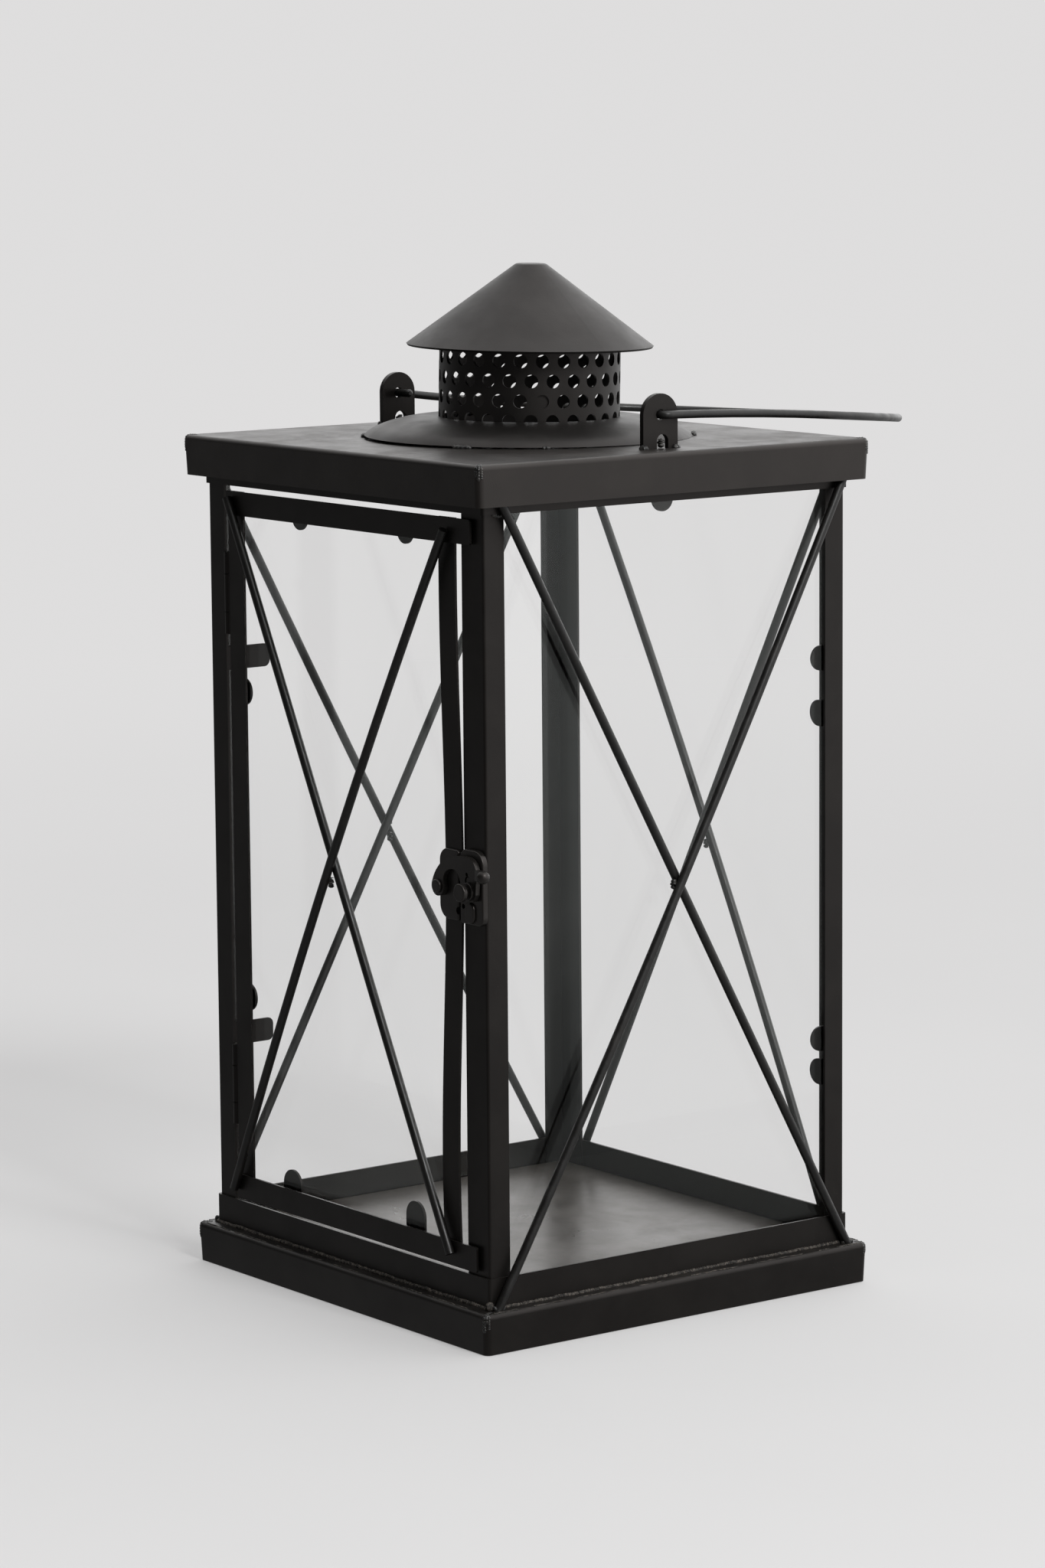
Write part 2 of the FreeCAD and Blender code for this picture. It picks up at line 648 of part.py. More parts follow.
def hook_knob():
    """Knob on the hook's leg: a collar across the slot, a stem and a round head."""
    x, z = KNOB
    front = HOOK_BACK - HOOK_THICKNESS
    collar = across(KNOB_RADIUS, x, z, front - 1.0, front)
    stem = across(KNOB_STEM, x, z, front - 3.0, front - 1.0)
    head = across(KNOB_RADIUS, x, z, front - 4.4, front - 2.8)
    head = head.makeFillet(LATCH_EASE, front_rim(head))
    return collar.makeFillet(LATCH_EASE / 2, front_rim(collar)).fuse([stem, head]).removeSplitter()


# ---- chimney -------------------------------------------------------------------------------

def chimney_flange():
    """Low spun dome that collars the chimney band."""
    lift = 0.6
    base = ROOF_TOP + lift
    outer = [(FLANGE_RADIUS, 0.0), (57.8, 2.4), (53.5, 4.2), (47.8, 5.8), (42.0, 6.7), (33.0, 7.0)]
    wall = 0.8
    inner = [(r - (1.2 if index == 0 else 0.2), h - (0.0 if index == 0 else wall))
             for index, (r, h) in enumerate(outer)]
    curves = []
    for row in (outer, inner):
        curve = Part.BSplineCurve()
        curve.interpolate([V(r, 0, base + h) for r, h in row])
        curves.append(curve.toShape())
    foot = Part.makeLine(V(outer[0][0], 0, base), V(inner[0][0], 0, base))
    collar = Part.makeLine(V(outer[-1][0], 0, base + outer[-1][1]),
                           V(inner[-1][0], 0, base + inner[-1][1]))
    face = Part.Face(Part.Wire(Part.__sortEdges__([curves[0], collar, curves[1], foot])))
    dome = leaned(face.revolve(V(0, 0, 0), V(0, 0, 1), 360), FLANGE_LEAN)
    fill = leaned(upright(BAND_RADIUS + 0.05, ROOF_TOP - 10, CAP_RIM), STACK_LEAN)
    return on_roof(dome.cut(fill))


def band_blank():
    """Chimney band before punching, from the roof up to the inside of the cap."""
    ring = upright(BAND_RADIUS, ROOF_TOP - 3, CAP_TOP)
    ring = ring.cut(upright(BAND_RADIUS - SHEET, ROOF_TOP - 4, CAP_TOP + 1))
    wall = SHEET / math.cos(cap_slope())
    outside = turned([(0, CAP_TOP + 20), (BAND_RADIUS + 20, CAP_TOP + 20),
                      (BAND_RADIUS + 20, cap_height(BAND_RADIUS + 20) - wall),
                      (5.0, cap_height(5.0) - wall), (0, cap_height(5.0) - wall)])
    return ring.cut(outside)


def chimney_band():
    """Perforated band: staggered rows of round holes."""
    return on_roof(leaned(band_blank().cut(band_punches(range(BAND_ROWS))), STACK_LEAN))


def band_punches(rows):
    """Punches of the given rows; each one goes through both sides of the band."""
    pitch = 360.0 / BAND_HOLES
    punches = []
    for row in rows:
        z = BAND_ROW_LOW + row * BAND_ROW_PITCH
        first = BAND_FIRST_HOLE + (row % 2) * pitch / 2.0
        for hole in range(BAND_HOLES // 2):
            angle = math.radians(first + hole * pitch)
            way = V(math.cos(angle), math.sin(angle), 0)
            start = V(0, 0, z) - way * (BAND_RADIUS + 3)
            punches.append(Part.makeCylinder(BAND_HOLE_RADIUS, 2 * (BAND_RADIUS + 3), start, way))
    return punches


def band_seam():
    """Lap strip inside the band's joint; its holes line up with the band's but in one row."""
    outer = BAND_RADIUS - SHEET
    ring = upright(outer, ROOF_TOP - 3, CAP_RIM + 4).cut(upright(outer - SHEET, ROOF_TOP - 4, CAP_TOP))
    wedge = box(0, BAND_RADIUS, -4.6, 4.6, ROOF_TOP - 4, CAP_TOP)
    wedge.rotate(V(0, 0, 0), V(0, 0, 1), -29.0)
    open_rows = [row for row in range(BAND_ROWS) if row != SEAM_BLIND_ROW]
    return on_roof(leaned(ring.common(wedge).cut(band_punches(open_rows)), STACK_LEAN))


def cap_slope():
    return math.atan2(CAP_TOP - CAP_RIM, CAP_RADIUS - CAP_FLAT)


def cap_height(radius):
    """Height of the cap's outer cone at a radius."""
    return CAP_RIM + (CAP_RADIUS - radius) * math.tan(cap_slope())


def cap():
    slope = cap_slope()
    rim_in = (CAP_RADIUS - SHEET * math.sin(slope), CAP_RIM - SHEET * math.cos(slope))
    flat_z = CAP_TOP - SHEET
    flat_in = rim_in[0] - (flat_z - rim_in[1]) / math.tan(slope)
    cone = turned([(0, CAP_TOP), (CAP_FLAT, CAP_TOP), (CAP_RADIUS, CAP_RIM), rim_in,
                   (flat_in, flat_z), (0, flat_z)])
    cone = cone.makeFillet(2.5, level_edges(cone, CAP_TOP))
    return leaned(cone, STACK_LEAN)


# ---- bail ---------------------------------------------------------------------------------------

def ear(sign, centre_y, width, top):
    """Upright lug on the roof with the bail's hole and a weld notch in its foot."""
    half = width / 2.0
    x0, x1 = EAR_INNER, EAR_INNER + EAR_SHEET
    body = box(x0, x1, centre_y - half, centre_y + half, ROOF_TOP, top - half)
    crown = Part.makeCylinder(half, EAR_SHEET, V(x0, centre_y, top - half), V(1, 0, 0))
    hole = Part.makeCylinder(EAR_HOLE, EAR_SHEET + 2, V(x0 - 1, centre_y, EAR_HOLE_Z), V(1, 0, 0))
    notch_r = 2.6
    notch_z = ROOF_TOP + 2.6
    notch = Part.makeCylinder(notch_r, EAR_SHEET + 2, V(x0 - 1, centre_y + 0.9, notch_z), V(1, 0, 0))
    gap = box(x0 - 1, x1 + 1, centre_y + 0.9 - notch_r, centre_y + 0.9 + notch_r, ROOF_TOP - 1, notch_z)
    lug = body.fuse(crown).removeSplitter().cut([hole, notch, gap])
    if sign < 0:
        lug = lug.mirror(V(0, 0, 0), V(1, 0, 0))
    return lug


def arc(start, way, end):
    """Edge of the circular arc that leaves start in direction way and meets end."""
    chord = end - start
    lift = way.cross(chord).cross(chord)
    lift.normalize()
    rise = chord.Length / 2.0 * math.tan(way.getAngle(chord) / 2.0)
    middle = (start + end) * 0.5 - lift * rise
    return Part.Arc(start, middle, end).toShape()


def bail_side(sign, crown_way):
    """Centre lines of one side of the bail, stub, bend and arm, and the crown's end point.
    The arm is an arc that runs on smoothly into the crown and into the bend."""
    corner = V(sign * BAIL_HALF, 0, 0)
    droop = math.tan(math.radians(BAIL_DROOP))
    rise = sign * BAIL_TWIST / 2.0
    crown_end = V(sign * BAIL_HALF, BAIL_STRAIGHT, rise - BAIL_STRAIGHT * droop)
    way = crown_way
    for _ in range(12):
        arm_start = corner + way * BAIL_BEND
        straight = crown_end - arm_start
        straight.normalize()
        way = straight * (2.0 * crown_way.dot(straight)) - crown_way
    stub_end = V(sign * BAIL_STUB, 0, 0)
    bend_start = corner - V(sign * BAIL_BEND, 0, 0)
    stub = Part.makeLine(stub_end, bend_start)
    bend = arc(bend_start, V(sign, 0, 0), arm_start)
    arm = arc(arm_start, way, crown_end)
    return [stub, bend, arm], crown_end


def bail():
    """Round wire: a stub through each ear, two arms and a half-round crown."""
    droop = math.radians(BAIL_DROOP)
    level = V(2.0 * BAIL_HALF, 0, BAIL_TWIST)
    level.normalize()
    crown_way = V(0, math.cos(droop), -math.sin(droop))
    crown_way = crown_way - level * crown_way.dot(level)
    crown_way.normalize()
    near, near_end = bail_side(1, crown_way)
    far, far_end = bail_side(-1, crown_way)
    crown = arc(near_end, crown_way, far_end)
    path = Part.Wire(near + [crown] + far[::-1])
    disc = Part.Face(Part.Wire(Part.makeCircle(WIRE_RADIUS, V(BAIL_STUB, 0, 0), V(1, 0, 0))))
    wire = path.makePipe(disc)
    ends = [edge for edge in wire.Edges
            if edge.BoundBox.XLength < 1e-4 and abs(abs(edge.BoundBox.Center.x) - BAIL_STUB) < 1e-4]
    wire = wire.makeFillet(WIRE_RADIUS * 0.6, ends)
    skew = math.degrees(math.atan2(NEAR_EAR_Y - FAR_EAR_Y, 2 * EAR_INNER))
    wire.rotate(V(0, 0, 0), V(0, 0, 1), skew)
    wire.translate(V(0, (NEAR_EAR_Y + FAR_EAR_Y) / 2.0, EAR_HOLE_Z))
    return wire


# ---- write the parts -------------------------------------------------------------------------------

def parts():
    made = {
        "base_tray": base_tray(),
        "base_pan": base_pan(),
        "candle_plate": candle_plate(),
        "post_latch": post(1, -1, POST_LEG_X),
        "post_hinge": post(-1, -1, POST_LEG_HINGE),
        "post_back_right": post(1, 1, POST_LEG_X),
        "post_back_left": post(-1, 1, POST_LEG_X),
        "upper_rim": upper_rim(),
        "roof_tray": roof_tray(),
        "pane_right": side_pane(1),
        "pane_left": side_pane(-1),
        "pane_back": back_pane(),
        "clips_right": side_clips(1),
        "clips_left": side_clips(-1),
        "clips_back": back_clips(),
        "door_stile_hinge": stile(DOOR_LEFT, DOOR_LEFT + STILE_WIDTH),
        "door_stile_latch": bent_stile(DOOR_RIGHT - STILE_WIDTH, DOOR_RIGHT),
        "door_rail_top": rail(DOOR_TOP - RAIL_TOP_HEIGHT, DOOR_TOP),
        "door_rail_bottom": rail(DOOR_BOTTOM, DOOR_BOTTOM + RAIL_BOTTOM_HEIGHT),
        "door_pane": door_pane(),
        "door_clips": door_clips(),
        "door_rod_inner": door_rod((-69.4, 294.6), (67.5, 32.1), False),
        "door_rod_outer": door_rod((68.0, 292.7), (-72.2, 31.1), True),
        "rod_right_inner": wall_rod("right", 81.9, -79.0, False),
        "rod_right_outer": wall_rod("right", -80.8, 82.6, True),
        "rod_left_inner": wall_rod("left", -80.5, 79.5, False),
        "rod_left_outer": wall_rod("left", 80.2, -79.3, True),
        "rod_back_inner": wall_rod("back", -80.5, 79.0, False),
        "rod_back_outer": wall_rod("back", 76.0, -78.8, True),
        "latch_door_plate": latch_door_plate(),
        "keeper_plate": keeper_plate(),
        "keeper_peg": keeper_peg(),
        "latch_rivet": latch_rivet(),
        "latch_hook": latch_hook(),
        "hook_knob": hook_knob(),
        "chimney_flange": chimney_flange(),
        "chimney_band": chimney_band(),
        "band_seam": band_seam(),
        "cap": cap(),
        "ear_near": ear(1, NEAR_EAR_Y, 15.7, 336.8),
        "ear_far": ear(-1, FAR_EAR_Y, 15.0, 337.0),
        "bail": bail(),
    }
    for place, centre in HINGE_CENTRES.items():
        made["hinge_door_" + place] = hinge_leaf_door(centre)
        made["hinge_frame_" + place] = hinge_leaf_frame(centre)
        made["hinge_pin_" + place] = hinge_pin(centre)
    return made


os.makedirs("parts", exist_ok=True)
for node, shape in parts().items():
    shape.exportStep("parts/" + node + ".step")
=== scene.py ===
import math
import random

import bmesh
import bpy
from mathutils import Matrix, Vector

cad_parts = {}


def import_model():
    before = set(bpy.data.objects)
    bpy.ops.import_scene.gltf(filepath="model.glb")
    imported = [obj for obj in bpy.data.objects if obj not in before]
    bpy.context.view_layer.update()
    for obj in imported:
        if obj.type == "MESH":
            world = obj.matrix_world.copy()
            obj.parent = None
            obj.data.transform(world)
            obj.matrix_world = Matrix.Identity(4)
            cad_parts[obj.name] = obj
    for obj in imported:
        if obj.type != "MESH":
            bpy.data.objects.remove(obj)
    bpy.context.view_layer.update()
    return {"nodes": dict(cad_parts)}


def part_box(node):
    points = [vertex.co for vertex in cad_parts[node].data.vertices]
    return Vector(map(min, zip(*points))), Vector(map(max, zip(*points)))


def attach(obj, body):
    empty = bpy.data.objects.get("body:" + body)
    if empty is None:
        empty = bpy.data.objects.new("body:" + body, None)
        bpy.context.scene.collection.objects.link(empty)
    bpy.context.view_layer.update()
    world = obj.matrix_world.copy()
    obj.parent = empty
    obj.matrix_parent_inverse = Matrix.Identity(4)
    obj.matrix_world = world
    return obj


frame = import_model()

MM = 0.001

# ---- sizes read from the frame ---------------------------------------------------

TRAY_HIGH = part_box("base_tray")[1]
PAN_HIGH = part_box("base_pan")[1]
LEDGE_Z = TRAY_HIGH[2]
ROOF_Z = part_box("roof_tray")[1][2]
WRAP_X = PAN_HIGH[0]
WRAP_Y = PAN_HIGH[1]
ROD_RADIUS = 1.65 * MM
TRAY_CORNER = 2.4 * MM          # corner radius of both trays
ROOF_FOLD = 1.8 * MM            # radius of the fold round the roof's edge
BASE_FOLD = 1.9 * MM
GATHER_SINK = 0.42 * MM         # how deep a gather's centre line lies in the sheet
BEAD_SIDES = 12                 # sides of a bead's cross section


# ---- node helpers -----------------------------------------------------------------

class Nodes:
    """A material's node tree, with short calls for the nodes used here."""

    def __init__(self, name):
        self.material = bpy.data.materials.new(name)
        self.material.use_nodes = True
        self.tree = self.material.node_tree
        self.shader = self.tree.nodes["Principled BSDF"]
        self.coordinates = self.tree.nodes.new("ShaderNodeTexCoord").outputs["Object"]

    def link(self, source, target):
        self.tree.links.new(source, target)

    def stretched(self, scale):
        node = self.tree.nodes.new("ShaderNodeMapping")
        node.inputs["Scale"].default_value = scale
        self.link(self.coordinates, node.inputs["Vector"])
        return node.outputs["Vector"]

    def noise(self, scale, detail=3.0, roughness=0.55, distortion=0.0, vector=None):
        node = self.tree.nodes.new("ShaderNodeTexNoise")
        node.inputs["Scale"].default_value = scale
        node.inputs["Detail"].default_value = detail
        node.inputs["Roughness"].default_value = roughness
        node.inputs["Distortion"].default_value = distortion
        self.link(vector or self.coordinates, node.inputs["Vector"])
        return node.outputs["Fac"]

    def cells(self, scale):
        node = self.tree.nodes.new("ShaderNodeTexVoronoi")
        node.inputs["Scale"].default_value = scale
        self.link(self.coordinates, node.inputs["Vector"])
        return node.outputs["Distance"]

    def band(self, value, low, high, to_low=0.0, to_high=1.0):
        node = self.tree.nodes.new("ShaderNodeMapRange")
        node.interpolation_type = "SMOOTHSTEP"
        node.inputs["From Min"].default_value = low
        node.inputs["From Max"].default_value = high
        node.inputs["To Min"].default_value = to_low
        node.inputs["To Max"].default_value = to_high
        self.link(value, node.inputs["Value"])
        return node.outputs["Result"]

    def math(self, operation, first, second):
        node = self.tree.nodes.new("ShaderNodeMath")
        node.operation = operation
        for socket, value in zip(node.inputs, (first, second)):
            if isinstance(value, (int, float)):
                socket.default_value = value
            else:
                self.link(value, socket)
        return node.outputs[0]

    def mix(self, factor, first, second):
        node = self.tree.nodes.new("ShaderNodeMix")
        node.data_type = "RGBA"
        self.link(factor, node.inputs["Factor"])
        for socket, value in ((node.inputs["A"], first), (node.inputs["B"], second)):
            if isinstance(value, tuple):
                socket.default_value = (*value, 1.0)
            else:
                self.link(value, socket)
        return node.outputs["Result"]

    def facing_up(self):
        """1 where the surface faces up, 0 where it is upright or faces down."""
        geometry = self.tree.nodes.new("ShaderNodeNewGeometry")
        split = self.tree.nodes.new("ShaderNodeSeparateXYZ")
        self.link(geometry.outputs["Normal"], split.inputs["Vector"])
        return self.band(split.outputs["Z"], 0.25, 0.95)

    def bump(self, height, distance, strength=1.0, below=None):
        node = self.tree.nodes.new("ShaderNodeBump")
        node.inputs["Distance"].default_value = distance
        node.inputs["Strength"].default_value = strength
        self.link(height, node.inputs["Height"])
        if below is not None:
            self.link(below, node.inputs["Normal"])
        return node.outputs["Normal"]


def coated_steel(name, tone, worn, gloss, waviness, grain, dust=0.5, rough_spread=0.1, specular=0.26,
                 wave=0.35):
    """Satin black paint on steel: cloudy tone, dust where it faces up, fine specks."""
    n = Nodes(name)
    cloud = n.noise(38.0, 5.0, 0.6, 0.4)
    base = n.mix(n.band(cloud, 0.35, 0.72), tone, worn)
    specks = n.band(n.cells(620.0), 0.035, 0.075, 1.0, 0.0)
    rare = n.band(n.noise(95.0, 2.0), 0.56, 0.66)
    speck = n.math("MULTIPLY", n.math("MULTIPLY", specks, rare), 0.55)
    base = n.mix(speck, base, (0.115, 0.105, 0.095))
    film = n.band(n.noise(22.0, 6.0, 0.7, 0.8), 0.42, 0.78)
    settled = n.math("MULTIPLY", n.math("MULTIPLY", film, n.facing_up()), 0.16 * dust)
    base = n.mix(settled, base, (0.19, 0.175, 0.16))
    n.link(base, n.shader.inputs["Base Color"])
    smear = n.band(n.noise(60.0, 4.0, 0.65), 0.3, 0.75, gloss, gloss + rough_spread)
    rough = n.math("ADD", smear, n.math("MULTIPLY", settled, 1.2))
    n.link(rough, n.shader.inputs["Roughness"])
    sheet = n.bump(n.noise(waviness, 2.0, 0.5), 0.9 * MM, wave)
    peel = n.bump(n.noise(grain, 2.0, 0.6), 0.05 * MM, 0.5, below=sheet)
    n.link(peel, n.shader.inputs["Normal"])
    n.shader.inputs["Specular IOR Level"].default_value = specular
    n.shader.inputs["Specular Tint"].default_value = (1.0, 0.92, 0.89, 1.0)
    return n.material


def wire_steel(name, tone, rubbed):
    """Blackened drawn wire: faint streaks along it and rubbed, brighter patches."""
    n = Nodes(name)
    patches = n.band(n.noise(70.0, 5.0, 0.65, 0.5), 0.5, 0.74)
    streak = n.band(n.noise(900.0, 2.0), 0.45, 0.75)
    base = n.mix(n.math("MULTIPLY", patches, 0.7), tone, rubbed)
    base = n.mix(n.math("MULTIPLY", streak, 0.3), base, rubbed)
    n.link(base, n.shader.inputs["Base Color"])
    n.link(n.band(n.noise(160.0, 4.0), 0.3, 0.7, 0.3, 0.46), n.shader.inputs["Roughness"])
    dent = n.bump(n.noise(110.0, 2.0), 0.25 * MM, 0.5)
    n.link(n.bump(n.noise(1900.0, 2.0), 0.03 * MM, 0.5, below=dent), n.shader.inputs["Normal"])
    n.shader.inputs["Specular IOR Level"].default_value = 0.42
    return n.material


def bare_pin(name):
    """Darkened steel pin with turned rings of wear."""
    n = Nodes(name)
    rings = n.noise(1400.0, 2.0, vector=n.stretched((0.1, 0.1, 1.0)))
    base = n.mix(n.band(rings, 0.4, 0.7), (0.035, 0.034, 0.032), (0.12, 0.115, 0.11))
    n.link(base, n.shader.inputs["Base Color"])
    n.link(n.band(n.noise(500.0), 0.3, 0.7, 0.3, 0.5), n.shader.inputs["Roughness"])
    n.shader.inputs["Metallic"].default_value = 0.8
    return n.material


def weld_metal(name):
    """Painted-over weld metal: lumpy, a little shinier than the sheet."""
    n = Nodes(name)
    n.link(n.mix(n.band(n.noise(420.0, 4.0), 0.4, 0.68), (0.006, 0.006, 0.006), (0.045, 0.042, 0.038)),
           n.shader.inputs["Base Color"])
    n.link(n.band(n.noise(700.0), 0.3, 0.7, 0.22, 0.45), n.shader.inputs["Roughness"])
    n.link(n.bump(n.noise(1300.0, 3.0), 0.2 * MM, 0.6), n.shader.inputs["Normal"])
    n.shader.inputs["Specular IOR Level"].default_value = 0.45
    return n.material


def dusty_seam(name):
    """Sealed seam at the pan's foot: rough, gritty, greyed by dust."""
    n = Nodes(name)
    grit = n.noise(900.0, 4.0, 0.7)
    base = n.mix(n.band(grit, 0.42, 0.66), (0.012, 0.0105, 0.009), (0.12, 0.105, 0.09))
    n.link(base, n.shader.inputs["Base Color"])
    n.link(n.band(n.noise(500.0), 0.3, 0.7, 0.55, 0.8), n.shader.inputs["Roughness"])
    n.link(n.bump(grit, 0.35 * MM, 0.9), n.shader.inputs["Normal"])
    n.shader.inputs["Specular IOR Level"].default_value = 0.35
    return n.material


CLEAR = 0.022                   # share of light that a clean face of glass holds back
HAZE = 0.014                    # most that wiping marks add to it


def window_glass(name):
    """Thin clear pane. Alpha is the share that a face mirrors, more at a slant, and
    wiping marks and rare dust spots add a little haze to it."""
    n = Nodes(name)
    slant = n.tree.nodes.new("ShaderNodeLayerWeight")
    slant.inputs["Blend"].default_value = 0.5
    mirror = n.math("MULTIPLY", n.math("POWER", slant.outputs["Facing"], 5.0), 0.9)
    streaks = n.noise(14.0, 6.0, 0.68, 1.2, vector=n.stretched((1.0, 1.0, 0.3)))
    haze = n.band(streaks, 0.5, 0.85, 0.0, HAZE)
    spots = n.band(n.cells(240.0), 0.02, 0.05, 0.16, 0.0)
    spotted = n.math("MULTIPLY", spots, n.band(n.noise(40.0), 0.58, 0.66))
    alpha = n.math("ADD", mirror, CLEAR)
    alpha = n.math("ADD", alpha, n.math("ADD", haze, spotted))
    n.link(alpha, n.shader.inputs["Alpha"])
    base = n.mix(n.band(n.noise(14.0), 0.3, 0.7), (0.84, 0.88, 0.86), (0.92, 0.95, 0.93))
    n.link(base, n.shader.inputs["Base Color"])
    n.link(n.band(haze, 0.0, HAZE, 0.03, 0.3), n.shader.inputs["Roughness"])
    n.shader.inputs["Metallic"].default_value = 1.0
    return n.material


SHEET = coated_steel("sheet_paint", (0.0042, 0.0037, 0.0033), (0.0078, 0.0070, 0.0062),
                     0.32, 16.0, 2400.0)
POSTS = coated_steel("post_paint", (0.0040, 0.0036, 0.0033), (0.0080, 0.0072, 0.0064),
                     0.34, 26.0, 2600.0, 0.3)
SPUN = coated_steel("chimney_paint", (0.0055, 0.0052, 0.0049), (0.0095, 0.0090, 0.0085),
                    0.4, 20.0, 3000.0, 0.35, specular=0.36)
FLOOR_PLATE = coated_steel("plate_paint", (0.034, 0.030, 0.026), (0.060, 0.054, 0.048),
                           0.27, 9.0, 1800.0, 0.45, 0.08, specular=0.5, wave=0.08)
ROOF = coated_steel("roof_paint", (0.0050, 0.0042, 0.0036), (0.0095, 0.0082, 0.0070), 0.36, 16.0, 2400.0, 0.7,
                    specular=0.42)
LATCH = coated_steel("latch_paint", (0.0060, 0.0055, 0.0050), (0.014, 0.013, 0.012), 0.3, 60.0, 2000.0, 0.3,
                     specular=0.42)
WIRE = wire_steel("wire_black", (0.0055, 0.0052, 0.0048), (0.026, 0.023, 0.020))
ROD = wire_steel("rod_black", (0.0050, 0.0046, 0.0042), (0.018, 0.016, 0.014))
PIN = bare_pin("pin_steel_dark")
WELD = weld_metal("weld_black")
SEAM = dusty_seam("seam_dust")
GLASS = window_glass("pane_glass")


LATCH_NODES = ("latch_hook", "hook_knob", "latch_rivet", "latch_door_plate", "keeper_plate", "keeper_peg")


def finish_nodes():
    """Give every carried-over CAD node its finish."""
    for name, node in frame["nodes"].items():
        if name.startswith("pane_") or name == "door_pane":
            material = GLASS
        elif name.startswith("rod_") or name.startswith("door_rod"):
            material = ROD
        elif name == "bail":
            material = WIRE
        elif name.startswith("hinge_pin"):
            material = PIN
        elif name == "candle_plate":
            material = FLOOR_PLATE
        elif name in ("cap", "chimney_band", "chimney_flange", "band_seam"):
            material = SPUN
        elif name == "roof_tray":
            material = ROOF
        elif name in LATCH_NODES:
            material = LATCH
        elif name.startswith("post_") or name.startswith("clips_") or name.startswith("door_"):
            material = POSTS
        else:
            material = SHEET
        node.data.materials.clear()
        node.data.materials.append(material)


# ---- mesh helpers -------------------------------------------------------------------

def make_object(name, mesh, material, body):
    """Turn a finished mesh into a piece that rides on a body."""
    for polygon in mesh.polygons:
        polygon.use_smooth = True
    piece = bpy.data.objects.new(name, mesh)
    bpy.context.collection.objects.link(piece)
    mesh.materials.append(material)
    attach(piece, body)
    return piece


def add_bead(mesh, points, radius, rng, flatten=1.0):
    """Weld bead along points: overlapping ripples, rounded at both ends."""
    total = sum((b - a).length for a, b in zip(points, points[1:]))
    count = max(6, int(total / (radius * 0.28)))
    rings = []
    for index in range(count + 1):
        share = index / count
        place, along = point_on(points, share * total)
        side = along.cross(Vector((0, 0, 1)))
        side = side.normalized() if side.length > 1e-6 else Vector((1, 0, 0))
        rise = side.cross(along).normalized()
        end = min(share, 1.0 - share) * total / radius
        swell = math.sqrt(max(0.0, 1.0 - (1.0 - min(1.0, end)) ** 2))
        ripple = 1.0 + 0.13 * math.sin(share * total / radius * 4.2) + rng.uniform(-0.07, 0.07)
        size = max(0.02, swell) * radius * ripple
        ring = []
        for step in range(BEAD_SIDES):
            turn = 2.0 * math.pi * step / BEAD_SIDES
            offset = side * math.cos(turn) * size + rise * math.sin(turn) * size * flatten
            ring.append(mesh.verts.new(place + offset))
        rings.append(ring)
    for first, second in zip(rings, rings[1:]):
        for step in range(BEAD_SIDES):
            after = (step + 1) % BEAD_SIDES
            mesh.faces.new((first[step], first[after], second[after], second[step]))
    mesh.faces.new(list(reversed(rings[0])))
    mesh.faces.new(rings[-1])


def point_on(points, distance):
    """Place and direction at a distance along a run of points."""
    for a, b in zip(points, points[1:]):
        run = b - a
        if distance <= run.length or b is points[-1]:
            return a + run * min(1.0, distance / run.length), run.normalized()
        distance -= run.length
    return points[-1], (points[-1] - points[-2]).normalized()


def bead_piece(name, runs, radius, seed, body="root", flatten=1.0, material=None):
    """One piece of several weld beads."""
    rng = random.Random(seed)
    mesh = bmesh.new()
    for points in runs:
        add_bead(mesh, points, radius * rng.uniform(0.85, 1.15), rng, flatten)
    bmesh.ops.recalc_face_normals(mesh, faces=mesh.faces)
    data = bpy.data.meshes.new(name)
    mesh.to_mesh(data)
    mesh.free()
    return make_object(name, data, material or WELD, body)


# ---- welds ----------------------------------------------------------------------------

def wandering(start, end, rng, wander, steps=14):
    """A straight run whose points wander a little."""
    points = []
    for index in range(steps + 1):
        place = start.lerp(end, index / steps)
        points.append(place + Vector([rng.uniform(-wander, wander) for _ in range(3)]))
    return points


def seam_beads():
    """Gritty bead all round the pan's foot, where it stands on the tray's ledge."""
    rng = random.Random(7)
    out_x, out_y = WRAP_X + 0.1 * MM, WRAP_Y + 0.1 * MM
    z = LEDGE_Z + 0.15 * MM
    corners = [Vector((-out_x, -out_y, z)), Vector((out_x, -out_y, z)),
               Vector((out_x, out_y, z)), Vector((-out_x, out_y, z))]
    runs = []
    for index, start in enumerate(corners):
        stop = corners[(index + 1) % 4]
        runs.append(wandering(start, stop, rng, 0.16 * MM, 60))
    return bead_piece("seam_beads", runs, 0.8 * MM, 11, flatten=1.15, material=SEAM)


def edge_grit():
    """Thin broken line of dusty paint along the tray's outer top edge."""
    rng = random.Random(17)
    out_x, out_y = TRAY_HIGH[0] - 1.25 * MM, TRAY_HIGH[1] - 1.25 * MM
    z = LEDGE_Z - 0.12 * MM
    runs = []
    for sx, sy in ((0, -1), (1, 0), (0, 1), (-1, 0)):
        length = out_y if sx else out_x
        place = -length + 3 * MM
        while place < length - 6 * MM:
            stop = min(place + rng.uniform(5, 26) * MM, length - 3 * MM)
            ends = [Vector((sx * out_x, t, z)) if sx else Vector((t, sy * out_y, z)) for t in (place, stop)]
            runs.append(wandering(*ends, rng, 0.1 * MM, 10))
            place = stop + rng.uniform(1, 14) * MM
    return bead_piece("edge_grit", runs, 0.22 * MM, 13, material=SEAM)


